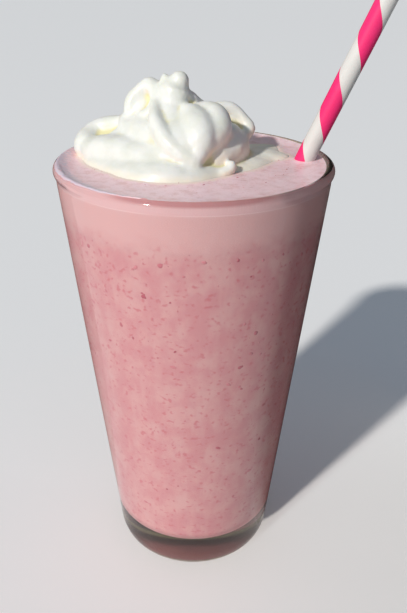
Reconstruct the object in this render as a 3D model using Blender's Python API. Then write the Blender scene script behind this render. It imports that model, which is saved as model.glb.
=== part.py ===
"""Strawberry milkshake in a tall glass, with whipped cream and a striped paper straw.

The glass stands on the floor at the origin, +Z is up and all lengths are in metres.
The straw leans to the right, and the drink is cut round it.
"""
import math

import bmesh
import bpy
from mathutils import Matrix, Vector

MM = 0.001

# Driving sizes, in millimetres
GAP = 0.3
MERGE = 0.01

GLASS_HEIGHT = 150.0
FOOT_RADIUS = 29.23
MOUTH_RADIUS = 44.2
HEEL_HEIGHT = 7.4
HEEL_INSET = 3.3
FLOOR_THICKNESS = 12.0
WALL_AT_FLOOR = 3.4
WALL_AT_MOUTH = 2.8
INNER_CORNER = 6.0
LIP_HEIGHT = 4.0
LIP_THICKNESS = 3.4
LIP_BULGE = 0.35
LIP_START = -20.0
LIP_STEPS = 10
CORNER_STEPS = 6
GLASS_SIDES = 72

FROTH_BOTTOM = 134.0
DRINK_LEVEL = 148.3
FROTH_EDGE_RISE = 0.7
FROTH_EDGE_WIDTH = 3.5
FROTH_EDGE_STEPS = 4

STRAW_RADIUS = 3.1
STRAW_WALL = 0.45
STRAW_END = (-21.5, 7.5, 14.0)
STRAW_AT_LEVEL = (35.3, 2.6, DRINK_LEVEL)
STRAW_ABOVE_DRINK = 57.0
STRAW_SIDES = 28
CUTTER_LENGTHS = 4.0

CREAM_VOXEL = 1.0
CREAM_SOFTENING = 4
CREAM_FACES = 4200
FOLD_STEPS = 12
ROUND_END = (45.0, 75.0)

# Edges sharper than this stay sharp in the shading, in degrees
SHARP_ANGLE = 35.0
CREAM_SHARP_ANGLE = 60.0


# Shapes that several parts use
def clear_scene():
    """Removes every object that a new Blender file starts with."""
    for old in list(bpy.data.objects):
        bpy.data.objects.remove(old, do_unlink=True)


def material(name, colour, roughness, transmission=0.0):
    """A plain material in the part's own colour."""
    made = bpy.data.materials.new(name)
    made.use_nodes = True
    shader = made.node_tree.nodes["Principled BSDF"]
    shader.inputs["Base Color"].default_value = (*colour, 1.0)
    shader.inputs["Roughness"].default_value = roughness
    shader.inputs["Transmission Weight"].default_value = transmission
    made.diffuse_color = (*colour, 1.0)
    return made


def add_object(name, mesh, finish=None):
    """Puts a mesh into the scene under a name."""
    made = bpy.data.objects.new(name, mesh)
    bpy.context.scene.collection.objects.link(made)
    if finish:
        mesh.materials.append(finish)
    return made


def smooth(mesh, angle=SHARP_ANGLE):
    """Shades a mesh smooth, but for edges sharper than the angle."""
    mesh.polygons.foreach_set("use_smooth", [True] * len(mesh.polygons))
    mesh.set_sharp_from_angle(angle=math.radians(angle))


def turned(name, profile, sides, closed=False):
    """Turns a profile of (radius, height) points round Z into a closed body.

    An open profile starts and ends on the axis, and a closed one makes a ring.
    """
    bm = bmesh.new()
    points = [bm.verts.new((radius * MM, 0.0, height * MM)) for radius, height in profile]
    edges = [bm.edges.new(pair) for pair in zip(points, points[1:])]
    if closed:
        edges.append(bm.edges.new((points[-1], points[0])))
    bmesh.ops.spin(
        bm, geom=points + edges, cent=(0.0, 0.0, 0.0), axis=(0.0, 0.0, 1.0),
        angle=2.0 * math.pi, steps=sides, use_merge=True,
    )
    bmesh.ops.remove_doubles(bm, verts=bm.verts[:], dist=MERGE * MM)
    bmesh.ops.recalc_face_normals(bm, faces=bm.faces[:])
    mesh = bpy.data.meshes.new(name)
    bm.to_mesh(mesh)
    bm.free()
    return mesh


def arc(centre_r, centre_z, radius_r, radius_z, start, end, steps):
    """Points of an elliptical arc in the (radius, height) plane, with angles in degrees."""
    points = []
    for k in range(steps + 1):
        angle = math.radians(start + (end - start) * k / steps)
        points.append((centre_r + radius_r * math.cos(angle), centre_z + radius_z * math.sin(angle)))
    return points


# Glass
def outer_radius(height):
    """Radius of the glass's outer cone at a height."""
    return FOOT_RADIUS + (MOUTH_RADIUS - FOOT_RADIUS) * height / GLASS_HEIGHT


def inner_radius(height):
    """Radius of the space inside the glass at a height, above the rounded corner."""
    low = outer_radius(FLOOR_THICKNESS) - WALL_AT_FLOOR
    high = MOUTH_RADIUS - WALL_AT_MOUTH
    share = (height - FLOOR_THICKNESS) / (GLASS_HEIGHT - FLOOR_THICKNESS)
    return low + (high - low) * share


def glass_profile():
    """The glass from the middle of its foot, up the outside, over the lip and down inside."""
    heel_centre = outer_radius(HEEL_HEIGHT) - HEEL_INSET
    profile = [(0.0, 0.0)]
    profile += arc(heel_centre, HEEL_HEIGHT, HEEL_INSET, HEEL_HEIGHT, -90.0, 0.0, CORNER_STEPS)
    lip_low = GLASS_HEIGHT - LIP_HEIGHT
    profile.append((outer_radius(lip_low), lip_low))
    half = LIP_THICKNESS / 2.0
    lip_centre = MOUTH_RADIUS + LIP_BULGE - half
    profile += arc(lip_centre, GLASS_HEIGHT - half, half, half, LIP_START, 180.0, LIP_STEPS)
    profile.append((inner_radius(lip_low), lip_low))
    corner_z = FLOOR_THICKNESS + INNER_CORNER
    corner_r = inner_radius(corner_z) - INNER_CORNER
    profile += arc(corner_r, corner_z, INNER_CORNER, INNER_CORNER, 0.0, -90.0, CORNER_STEPS)
    profile.append((0.0, FLOOR_THICKNESS))
    return profile


def make_glass():
    """The conical glass with its thick floor, rounded heel and lip."""
    mesh = turned("glass", glass_profile(), GLASS_SIDES)
    smooth(mesh)
    return add_object("glass", mesh, material("glass", (0.86, 0.9, 0.88), 0.02, 1.0))


# Drink
def cut_for_straw(drink):
    """Cuts the way of the straw out of a piece of the drink.

    The cutter's middle lies at the straw's lower end, and it reaches past both ends of the straw.
    """
    bm = bmesh.new()
    radius = (STRAW_RADIUS + GAP) * MM
    bmesh.ops.create_cone(
        bm, cap_ends=True, segments=STRAW_SIDES,
        radius1=radius, radius2=radius, depth=CUTTER_LENGTHS * straw_length(),
    )
    mesh = bpy.data.meshes.new("straw_cutter")
    bm.to_mesh(mesh)
    bm.free()
    cutter = add_object("straw_cutter", mesh)
    place_along_straw(cutter)
    cutter.hide_render = True
    cutter.display_type = "WIRE"
    cut = drink.modifiers.new("straw way", "BOOLEAN")
    cut.operation = "DIFFERENCE"
    cut.solver = "EXACT"
    cut.object = cutter
    apply_modifiers(drink)
    bpy.data.objects.remove(cutter, do_unlink=True)


def apply_modifiers(thing):
    """Replaces an object's mesh with what its modifiers make of it."""
    depsgraph = bpy.context.evaluated_depsgraph_get()
    made = bpy.data.meshes.new_from_object(thing.evaluated_get(depsgraph))
    thing.modifiers.clear()
    thing.data = made


def make_milkshake():
    """The drink from the glass's floor up to the froth."""
    corner_z = FLOOR_THICKNESS + INNER_CORNER
    corner_r = inner_radius(corner_z) - INNER_CORNER
    reach = INNER_CORNER - GAP
    top = FROTH_BOTTOM - GAP
    profile = [(0.0, FLOOR_THICKNESS + GAP)]
    profile += arc(corner_r, corner_z, reach, reach, -90.0, 0.0, CORNER_STEPS)
    profile.append((inner_radius(top) - GAP, top))
    profile.append((0.0, top))
    drink = add_object("milkshake", turned("milkshake", profile, GLASS_SIDES))
    cut_for_straw(drink)
    drink.data.materials.append(material("milkshake", (0.72, 0.36, 0.37), 0.45))
    smooth(drink.data)
    return drink


def make_froth():
    """The pale froth on the drink, drawn up a little where it meets the glass."""
    edge = inner_radius(DRINK_LEVEL) - GAP
    profile = [(0.0, FROTH_BOTTOM), (inner_radius(FROTH_BOTTOM) - GAP, FROTH_BOTTOM)]
    for k in range(FROTH_EDGE_STEPS + 1):
        share = k / FROTH_EDGE_STEPS
        height = DRINK_LEVEL + FROTH_EDGE_RISE * (1.0 - share) ** 2
        profile.append((edge - FROTH_EDGE_WIDTH * share, height))
    profile.append((0.0, DRINK_LEVEL))
    froth = add_object("milkshake_froth", turned("milkshake_froth", profile, GLASS_SIDES))
    cut_for_straw(froth)
    froth.data.materials.append(material("froth", (0.8, 0.56, 0.58), 0.5))
    smooth(froth.data)
    return froth


# Straw
def straw_length():
    """Length of the straw, in metres."""
    in_drink = (Vector(STRAW_AT_LEVEL) - Vector(STRAW_END)).length
    return (in_drink + STRAW_ABOVE_DRINK) * MM


def place_along_straw(thing):
    """Moves an object that was made along Z to the straw's lower end and leans it like the straw."""
    direction = Vector(STRAW_AT_LEVEL) - Vector(STRAW_END)
    thing.location = Vector(STRAW_END) * MM
    thing.rotation_mode = "QUATERNION"
    thing.rotation_quaternion = direction.to_track_quat("Z", "Y")
    bpy.context.view_layer.update()


def make_straw():
    """The paper straw, open at both ends, standing in the corner of the glass."""
    inner = STRAW_RADIUS - STRAW_WALL
    top = straw_length() / MM
    profile = [(inner, 0.0), (STRAW_RADIUS, 0.0), (STRAW_RADIUS, top), (inner, top)]
    mesh = turned("straw", profile, STRAW_SIDES, closed=True)
    smooth(mesh)
    straw = add_object("straw", mesh, material("straw", (0.95, 0.12, 0.32), 0.6))
    place_along_straw(straw)
    return straw


# Whipped cream
# A fold runs through three points: (x, y, height above the drink, radius)
FOLDS = {
    "heart": [(-26.0, 6.0, 1.0, 6.5), (-13.0, 3.0, 5.0, 9.5), (3.0, 3.0, 5.0, 8.5)],
    "front heart": [(-17.0, -6.0, 2.0, 6.5), (-7.0, -10.0, 3.0, 7.2), (3.0, -8.5, 3.0, 6.4)],
    "core": [(-13.0, 8.0, 12.0, 4.8), (-6.5, 8.0, 14.5, 6.2), (5.0, 8.0, 7.5, 6.2)],
    "back": [(-28.0, 14.0, 2.0, 5.0), (-10.0, 17.0, 4.0, 8.5), (10.0, 12.0, 3.0, 6.0)],
    "left skirt": [(-33.5, 7.0, -1.5, 5.0), (-27.0, -5.0, -1.7, 5.8), (-13.0, -15.5, -2.0, 6.8)],
    "front skirt": [(-20.0, -12.0, -2.0, 6.4), (-6.0, -17.0, -2.0, 7.0), (7.0, -10.5, -2.0, 5.6)],
    "left rim": [(-35.0, 7.5, 3.2, 4.6), (-31.8, 14.0, 7.4, 3.7), (-21.5, 10.0, 10.0, 3.2)],
    "left hollow": [(-32.0, 11.5, 3.0, 4.0), (-28.0, 11.5, 4.2, 4.4), (-23.5, 10.5, 5.0, 4.6)],
    "left mound": [(-32.5, 4.5, 2.8, 5.0), (-22.5, -4.0, 3.8, 5.8), (-11.5, -12.0, 2.2, 5.6)],
    "middle bulge": [(-20.0, 6.5, 9.2, 4.6), (-15.5, -1.0, 9.0, 5.8), (-8.5, -8.5, 6.0, 5.2)],
    "shawl": [(-21.6, 7.0, 12.6, 2.4), (-19.4, -1.5, 9.4, 2.4), (-8.5, -13.0, 5.0, 2.4)],
    "crescent left": [(-18.8, 4.5, 12.8, 2.5), (-19.7, 6.5, 18.0, 2.5), (-14.3, 7.5, 23.0, 2.6)],
    "crescent right": [(-14.3, 7.5, 23.0, 2.6), (-11.6, 2.8, 20.2, 2.0), (-15.0, -0.2, 14.8, 2.0)],
    "crescent foot": [(-15.5, 0.0, 15.4, 1.7), (-17.5, 2.0, 13.8, 1.8), (-19.0, 4.0, 13.2, 1.8)],
    "crescent hollow": [(-15.8, 8.8, 20.0, 3.3), (-16.0, 7.6, 17.2, 3.9), (-16.6, 5.9, 14.4, 4.1)],
    "inner fill": [(-11.0, 4.6, 20.4, 3.2), (-8.4, 0.8, 17.2, 3.9), (-6.2, -4.2, 12.6, 4.6)],
    "tongue": [(-12.0, -1.0, 19.0, 1.4), (-9.8, -10.5, 12.0, 2.8), (-1.0, -15.0, 5.5, 2.2)],
    "peak": [(-5.0, 3.0, 24.9, 3.1), (-6.2, 2.2, 21.0, 4.8), (-6.0, -2.0, 16.3, 1.8)],
    "saddle": [(-13.0, 8.0, 21.0, 3.0), (-10.0, 7.0, 21.2, 3.2), (-7.0, 5.0, 21.6, 3.8)],
    "crest nub": [(-9.6, 4.0, 23.4, 1.7), (-9.4, 4.0, 25.0, 1.4), (-9.2, 4.0, 26.2, 1.1)],
    "front lobe": [(-3.0, -1.0, 16.5, 3.0), (1.0, -8.6, 12.2, 5.9), (0.2, -14.0, 6.4, 3.5)],
    "lobe root": [(-5.5, -5.0, 13.5, 2.6), (-4.2, -10.5, 10.2, 4.2), (-1.0, -14.0, 6.8, 3.4)],
    "right bulge": [(2.5, 0.0, 16.5, 3.4), (7.0, -5.6, 13.8, 4.6), (3.0, -10.0, 9.0, 4.4)],
    "shoulder": [(-2.5, 5.0, 18.3, 4.0), (1.0, 7.0, 14.5, 4.4), (3.5, 7.0, 12.0, 5.0)],
    "right flank": [(7.6, -4.0, 8.5, 5.0), (11.2, 0.5, 7.6, 4.9), (12.6, 6.5, 6.4, 4.6)],
    "back curl top": [(4.5, 10.0, 12.6, 3.6), (10.8, 12.2, 14.8, 2.5), (16.6, 10.6, 11.0, 2.2)],
    "back curl side": [(16.6, 10.6, 11.0, 2.2), (17.6, 8.6, 8.4, 2.0), (13.0, 5.0, 6.0, 2.4)],
    "back hollow": [(8.5, 12.6, 10.4, 4.0), (11.8, 11.6, 10.6, 4.2), (14.2, 10.0, 8.2, 3.6)],
    "curl nub": [(10.5, -10.0, 4.0, 0.9), (11.2, -13.2, 2.7, 1.5), (5.5, -16.0, 0.5, 1.8)],
}

# Flat ovals of melted cream on the drink: (x, y, half length, half width, turn in degrees)
TAIL = [(17.0, 5.0, 20.0, 10.0, 63.0), (22.5, 6.0, 9.3, 5.0, 0.0)]
TAIL_THICKNESS = 2.0
TAIL_SIDES = 48


def through(start, middle, end, share):
    """A point of the curve that passes through three points, the middle one halfway."""
    made = []
    for a, b, c in zip(start, middle, end):
        made.append(a + (4.0 * b - 3.0 * a - c) * share + 2.0 * (a - 2.0 * b + c) * share ** 2)
    return made


def fold_points(start, middle, end):
    """Centres and radii along a fold, in metres, with both ends rounded off."""
    path = [through(start, middle, end, i / FOLD_STEPS) for i in range(FOLD_STEPS + 1)]
    centres = [Vector((x, y, DRINK_LEVEL + z)) * MM for x, y, z, _ in path]
    points = [(centre, values[3] * MM) for centre, values in zip(centres, path)]
    first = (centres[0] - centres[1]).normalized()
    last = (centres[-1] - centres[-2]).normalized()
    for angle in ROUND_END:
        out = math.sin(math.radians(angle))
        width = math.cos(math.radians(angle))
        points.insert(0, (centres[0] + first * start[3] * MM * out, start[3] * MM * width))
        points.append((centres[-1] + last * end[3] * MM * out, end[3] * MM * width))
    return points


def add_fold(curve, points):
    """Adds one fold to a curve as a spline that is as thick as its radii say."""
    spline = curve.splines.new("POLY")
    spline.points.add(len(points) - 1)
    for spot, (centre, radius) in zip(spline.points, points):
        spot.co = (*centre, 1.0)
        spot.radius = radius
    spline.use_smooth = True


def add_tail(mesh):
    """Adds to a mesh the thin tail of melted cream that has spread over the drink."""
    bm = bmesh.new()
    bm.from_mesh(mesh)
    for x, y, length, width, turn in TAIL:
        place = Matrix.Translation(Vector((x, y, DRINK_LEVEL)) * MM)
        spin = Matrix.Rotation(math.radians(turn), 4, "Z")
        size = Vector((length, width, TAIL_THICKNESS)) * MM
        bmesh.ops.create_uvsphere(
            bm, u_segments=TAIL_SIDES, v_segments=TAIL_SIDES // 2, radius=1.0,
            matrix=place @ spin @ Matrix.Diagonal((*size, 1.0)),
        )
    bm.to_mesh(mesh)
    bm.free()


def make_cream():
    """The whipped cream: its folds melted into one body that lies flat on the froth."""
    curve = bpy.data.curves.new("folds", "CURVE")
    curve.dimensions = "3D"
    curve.bevel_depth = 1.0
    curve.bevel_resolution = 4
    curve.use_fill_caps = True
    for fold in FOLDS.values():
        add_fold(curve, fold_points(*fold))
    cream = add_object("whipped_cream", curve)
    mesh = bpy.data.meshes.new_from_object(cream)
    bpy.data.objects.remove(cream, do_unlink=True)
    add_tail(mesh)
    cream = add_object("whipped_cream", mesh)
    melt = cream.modifiers.new("melt", "REMESH")
    melt.mode = "VOXEL"
    melt.voxel_size = CREAM_VOXEL * MM
    soften = cream.modifiers.new("soften", "SMOOTH")
    soften.factor = 0.5
    soften.iterations = CREAM_SOFTENING
    apply_modifiers(cream)
    thin = cream.modifiers.new("thin", "DECIMATE")
    thin.ratio = min(1.0, CREAM_FACES / (2.0 * len(cream.data.polygons)))
    apply_modifiers(cream)
    cut_flat(cream)
    cream.data.materials.append(material("whipped_cream", (0.9, 0.88, 0.8), 0.5))
    smooth(cream.data, CREAM_SHARP_ANGLE)
    return cream


def cut_flat(cream):
    """Cuts the cream off just above the froth."""
    bm = bmesh.new()
    bm.from_mesh(cream.data)
    level = Vector((0.0, 0.0, (DRINK_LEVEL + GAP) * MM))
    everything = bm.verts[:] + bm.edges[:] + bm.faces[:]
    bmesh.ops.bisect_plane(bm, geom=everything, plane_co=level, plane_no=(0.0, 0.0, 1.0), clear_inner=True)
    rim = [edge for edge in bm.edges if edge.is_boundary]
    bmesh.ops.holes_fill(bm, edges=rim, sides=0)
    bmesh.ops.triangulate(bm, faces=bm.faces[:])
    bmesh.ops.recalc_face_normals(bm, faces=bm.faces[:])
    bm.to_mesh(cream.data)
    bm.free()


clear_scene()
make_glass()
make_milkshake()
make_froth()
make_cream()
make_straw()
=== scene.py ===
"""Dresses the strawberry milkshake: glass, drink, froth, fruit flecks, whipped cream and straw."""
import logging
import math
import random
from dataclasses import dataclass, field
from enum import Enum
from typing import Iterable, Sequence

import bmesh
import bpy
import numpy as np
from mathutils import Matrix, Vector, kdtree, noise


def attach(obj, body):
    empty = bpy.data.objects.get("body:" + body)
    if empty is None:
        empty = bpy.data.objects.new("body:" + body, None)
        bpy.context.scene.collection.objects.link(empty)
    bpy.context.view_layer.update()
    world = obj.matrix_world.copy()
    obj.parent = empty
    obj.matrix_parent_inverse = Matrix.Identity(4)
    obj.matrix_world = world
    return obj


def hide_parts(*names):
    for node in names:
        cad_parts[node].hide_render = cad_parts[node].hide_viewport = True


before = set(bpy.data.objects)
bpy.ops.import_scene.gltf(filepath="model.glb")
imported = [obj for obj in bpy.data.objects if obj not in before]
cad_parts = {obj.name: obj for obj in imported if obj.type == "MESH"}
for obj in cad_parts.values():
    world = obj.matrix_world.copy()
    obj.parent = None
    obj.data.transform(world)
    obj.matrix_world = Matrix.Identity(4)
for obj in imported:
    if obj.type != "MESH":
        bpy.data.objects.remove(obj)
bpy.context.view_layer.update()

MM = 0.001
SHARP_ANGLE = 55.0
MERGE_GAP = 0.002
LOG = logging.getLogger("milkshake")

Colour = tuple[float, float, float]
Point = tuple[float, float, float]
FoldPoint = tuple[float, float, float, float]
Oval = tuple[float, float, float, float, float]
Span = tuple[float, float]
Profile = list[Span]
Socket = bpy.types.NodeSocket


class Slot(Enum):
    """The record's material slots."""

    GLASS = "glass"
    MILKSHAKE = "milkshake"
    FROTH = "froth"
    CREAM = "cream"
    STRAW = "straw_paper"


class Stripe(Enum):
    """The two bands of the straw, with the slot of each in its mesh."""

    WHITE = 0
    PINK = 1


# Helpers for meshes
def seen(red: float, green: float, blue: float) -> Colour:
    """Turns a colour as seen into the linear values of a shader.

    Args:
        red: Its red part, from 0 to 255.
        green: Its green part.
        blue: Its blue part.

    Returns:
        The three linear parts, from 0 to 1.
    """
    values = []
    for part in (red, green, blue):
        share = part / 255.0
        values.append(share / 12.92 if share <= 0.04045 else ((share + 0.055) / 1.055) ** 2.4)
    return values[0], values[1], values[2]


def arc(centre: Span, radii: Span, start: float, end: float, steps: int) -> Profile:
    """Lays points along an elliptical arc.

    Args:
        centre: Radius and height of the arc's centre, in millimetres.
        radii: Half sizes along the radius and the height, in millimetres.
        start: First angle in degrees, counted from outwards towards up.
        end: Last angle in degrees.
        steps: Number of spaces between the points.

    Returns:
        The points as (radius, height), in millimetres.
    """
    points = []
    for k in range(steps + 1):
        angle = math.radians(start + (end - start) * k / steps)
        points.append((centre[0] + radii[0] * math.cos(angle), centre[1] + radii[1] * math.sin(angle)))
    return points


def turned(name: str, profile: Profile, sides: int) -> bpy.types.Mesh:
    """Turns a profile round Z into a closed body.

    Args:
        name: Name of the mesh.
        profile: Points (radius, height) in millimetres, from the axis up the outer side to the axis.
        sides: Number of steps in a full turn.

    Returns:
        The mesh, in metres.
    """
    bm = bmesh.new()
    points = [bm.verts.new((radius * MM, 0.0, height * MM)) for radius, height in profile]
    edges = [bm.edges.new(pair) for pair in zip(points, points[1:])]
    bmesh.ops.spin(
        bm, geom=points + edges, cent=(0.0, 0.0, 0.0), axis=(0.0, 0.0, 1.0),
        angle=2.0 * math.pi, steps=sides, use_merge=True,
    )
    bmesh.ops.remove_doubles(bm, verts=bm.verts[:], dist=MERGE_GAP * MM)
    bmesh.ops.recalc_face_normals(bm, faces=bm.faces[:])
    return kept(name, bm)


def kept(name: str, bm: bmesh.types.BMesh) -> bpy.types.Mesh:
    """Keeps a mesh that has been built, and frees what it was built in.

    Args:
        name: Name of the mesh.
        bm: What it was built in.

    Returns:
        The mesh.
    """
    mesh = bpy.data.meshes.new(name)
    bm.to_mesh(mesh)
    bm.free()
    return mesh


def add_piece(name: str, mesh: bpy.types.Mesh, finishes: Iterable[bpy.types.Material]) -> bpy.types.Object:
    """Adds a smooth-shaded piece to the scene.

    Args:
        name: Name of the piece.
        mesh: Its mesh, in metres.
        finishes: Its materials, in the order of the mesh's slots.

    Returns:
        The new object.
    """
    piece = bpy.data.objects.new(name, mesh)
    bpy.context.scene.collection.objects.link(piece)
    for finish in finishes:
        mesh.materials.append(finish)
    mesh.polygons.foreach_set("use_smooth", [True] * len(mesh.polygons))
    mesh.set_sharp_from_angle(angle=math.radians(SHARP_ANGLE))
    return piece


def evaluated(piece: bpy.types.Object) -> bpy.types.Mesh:
    """Returns a new mesh of what an object's modifiers make of it."""
    depsgraph = bpy.context.evaluated_depsgraph_get()
    return bpy.data.meshes.new_from_object(piece.evaluated_get(depsgraph))


# Helpers for materials
@dataclass(frozen=True)
class Pattern:
    """A noise that makes soft patches.

    Its size is the length of a feature in millimetres, its span the values that become 0 and 1,
    and its share how strongly the patches show.
    """

    size: Point
    span: Span
    share: float = 1.0
    detail: float = 3.0
    roughness: float = 0.5


@dataclass(frozen=True)
class Relief:
    """A noise that raises a surface, with its size and depth in millimetres."""

    size: Point
    depth: float
    strength: float
    detail: float = 3.0


class Nodes:
    """Builds the node tree of one material."""

    def __init__(self, name: str) -> None:
        """Starts a material with a Principled shader.

        Args:
            name: Name of the material.
        """
        self.material = bpy.data.materials.new(name)
        self.material.use_nodes = True
        self.tree = self.material.node_tree
        self.shader = self.tree.nodes["Principled BSDF"]
        self.output = self.tree.nodes["Material Output"]
        self.place = self.tree.nodes.new("ShaderNodeTexCoord").outputs["Object"]

    def add(self, kind: str, **settings: object) -> bpy.types.Node:
        """Adds a node.

        Args:
            kind: Its type.
            **settings: Its properties.

        Returns:
            The node.
        """
        node = self.tree.nodes.new(kind)
        for key, value in settings.items():
            setattr(node, key, value)
        return node

    def join(self, source: Socket, target: Socket) -> None:
        """Links two sockets."""
        self.tree.links.new(source, target)

    def part(self, vector: Socket, axis: str) -> Socket:
        """Takes one part of a vector.

        Args:
            vector: The vector.
            axis: Which part: X, Y or Z.

        Returns:
            The part.
        """
        split = self.add("ShaderNodeSeparateXYZ")
        self.join(vector, split.inputs[0])
        return split.outputs[axis]

    def height(self) -> Socket:
        """Returns the height above the table, in metres."""
        return self.part(self.place, "Z")

    def facing(self) -> Socket:
        """Returns how far the surface faces up, from -1 to 1."""
        return self.part(self.add("ShaderNodeNewGeometry").outputs["Normal"], "Z")

    def attribute(self, name: str) -> Socket:
        """Returns the value of a mesh attribute."""
        return self.add("ShaderNodeAttribute", attribute_name=name).outputs["Fac"]

    def stretched(self, size: Point) -> Socket:
        """Scales the object coordinates so that one unit is as long as given.

        Args:
            size: Length of a unit along X, Y and Z, in millimetres.

        Returns:
            The scaled coordinates.
        """
        mapping = self.add("ShaderNodeMapping")
        mapping.inputs["Scale"].default_value = [1.0 / (part * MM) for part in size]
        self.join(self.place, mapping.inputs["Vector"])
        return mapping.outputs["Vector"]

    def noise(self, size: Point, detail: float = 3.0, roughness: float = 0.5) -> Socket:
        """Adds a noise.

        Args:
            size: Size of its features along X, Y and Z, in millimetres.
            detail: Number of finer noises on top of it.
            roughness: How strong the finer ones are.

        Returns:
            Its value, from 0 to 1.
        """
        node = self.add("ShaderNodeTexNoise")
        node.inputs["Scale"].default_value = 1.0
        node.inputs["Detail"].default_value = detail
        node.inputs["Roughness"].default_value = roughness
        self.join(self.stretched(size), node.inputs["Vector"])
        return node.outputs["Fac"]

    def cells(self, size: float) -> Socket:
        """Adds round cells.

        Args:
            size: Size of a cell, in millimetres.

        Returns:
            The distance to the middle of the nearest one.
        """
        node = self.add("ShaderNodeTexVoronoi")
        node.inputs["Scale"].default_value = 1.0
        self.join(self.stretched((size, size, size)), node.inputs["Vector"])
        return node.outputs["Distance"]

    def range(self, value: Socket, span: Span, unit: float = 1.0) -> Socket:
        """Turns a span of values into a smooth 0 to 1.

        Args:
            value: The value.
            span: What becomes 0 and what becomes 1.
            unit: Size of the span's unit.

        Returns:
            The new value.
        """
        node = self.add("ShaderNodeMapRange", interpolation_type="SMOOTHSTEP")
        node.inputs["From Min"].default_value = span[0] * unit
        node.inputs["From Max"].default_value = span[1] * unit
        self.join(value, node.inputs["Value"])
        return node.outputs["Result"]

    def math(self, operation: str, first: object, second: object) -> Socket:
        """Adds a math node.

        Args:
            operation: What it does.
            first: Its first input, a socket or a number.
            second: Its second input.

        Returns:
            The result.
        """
        node = self.add("ShaderNodeMath", operation=operation)
        for socket, value in zip(node.inputs, (first, second)):
            if isinstance(value, (int, float)):
                socket.default_value = value
            else:
                self.join(value, socket)
        return node.outputs[0]

    def patches(self, pattern: Pattern) -> Socket:
        """Returns the strength of a pattern's patches, from 0 to its share."""
        value = self.noise(pattern.size, pattern.detail, pattern.roughness)
        return self.math("MULTIPLY", self.range(value, pattern.span), pattern.share)

    def mix(self, share: object, first: object, second: object) -> Socket:
        """Mixes two colours, each a socket or linear values.

        Args:
            share: How much of the second is used, as a socket or a number.
            first: The first colour.
            second: The second colour.

        Returns:
            The mixed colour.
        """
        node = self.add("ShaderNodeMix", data_type="RGBA")
        kinds = ("VALUE", "RGBA")
        for name, value in (("Factor", share), ("A", first), ("B", second)):
            socket = next(s for s in node.inputs if s.name == name and s.type in kinds and s.enabled)
            if isinstance(value, Socket):
                self.join(value, socket)
            elif name == "Factor":
                socket.default_value = value
            else:
                socket.default_value = (*value, 1.0)
        return next(s for s in node.outputs if s.enabled and s.type == "RGBA")

    def bump(self, value: Socket, depth: float, strength: float, below: Socket | None = None) -> Socket:
        """Adds relief.

        Args:
            value: Height from 0 to 1.
            depth: What a height of 1 is, in millimetres.
            strength: How much of the relief is used.
            below: Another relief that this one lies on.

        Returns:
            The bent normal.
        """
        node = self.add("ShaderNodeBump")
        node.inputs["Distance"].default_value = depth * MM
        node.inputs["Strength"].default_value = strength
        self.join(value, node.inputs["Height"])
        if below is not None:
            self.join(below, node.inputs["Normal"])
        return node.outputs["Normal"]

    def relief(self, relief: Relief, below: Socket | None = None) -> Socket:
        """Adds a noise as relief, on top of another one if there is one, and returns the bent normal."""
        return self.bump(self.noise(relief.size, relief.detail), relief.depth, relief.strength, below)

    def set(self, **values: object) -> None:
        """Sets plain values on the shader, with underscores for spaces in the names."""
        for key, value in values.items():
            self.shader.inputs[key.replace("_", " ")].default_value = value

    def finish(self, colour: Socket, normal: Socket) -> bpy.types.Material:
        """Joins colour and relief to the shader.

        Args:
            colour: The colour.
            normal: The bent normal of the relief.

        Returns:
            The finished material.
        """
        self.join(colour, self.shader.inputs["Base Color"])
        self.join(normal, self.shader.inputs["Normal"])
        return self.material


@dataclass(frozen=True)
class GlassFinish:
    """Clear drinking glass whose thick floor is grey-green."""

    tint: Colour = (1.0, 1.0, 1.0)
    roughness: float = 0.06
    ior: float = 1.5
    depth_colour: Colour = (0.52, 0.44, 0.4)
    depth_density: float = 16.0
    waves: Relief = Relief((14.0, 14.0, 26.0), 0.05, 0.25, 1.0)

    def build(self) -> bpy.types.Material:
        """Makes the material, which lets lamplight through to the drink.

        Returns:
            The material.
        """
        nodes = Nodes("clear_glass")
        nodes.set(
            Base_Color=(*self.tint, 1.0), Roughness=self.roughness, IOR=self.ior, Transmission_Weight=1.0,
        )
        nodes.join(nodes.relief(self.waves), nodes.shader.inputs["Normal"])
        path = nodes.add("ShaderNodeLightPath")
        clear = nodes.add("ShaderNodeBsdfTransparent")
        surface = nodes.shader.outputs[0]
        for ray in ("Is Diffuse Ray", "Is Shadow Ray"):
            choice = nodes.add("ShaderNodeMixShader")
            nodes.join(path.outputs[ray], choice.inputs[0])
            nodes.join(surface, choice.inputs[1])
            nodes.join(clear.outputs[0], choice.inputs[2])
            surface = choice.outputs[0]
        nodes.join(surface, nodes.output.inputs["Surface"])
        inside = nodes.add("ShaderNodeVolumeAbsorption")
        inside.inputs["Color"].default_value = (*self.depth_colour, 1.0)
        inside.inputs["Density"].default_value = self.depth_density
        nodes.join(inside.outputs[0], nodes.output.inputs["Volume"])
        return nodes.material


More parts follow.
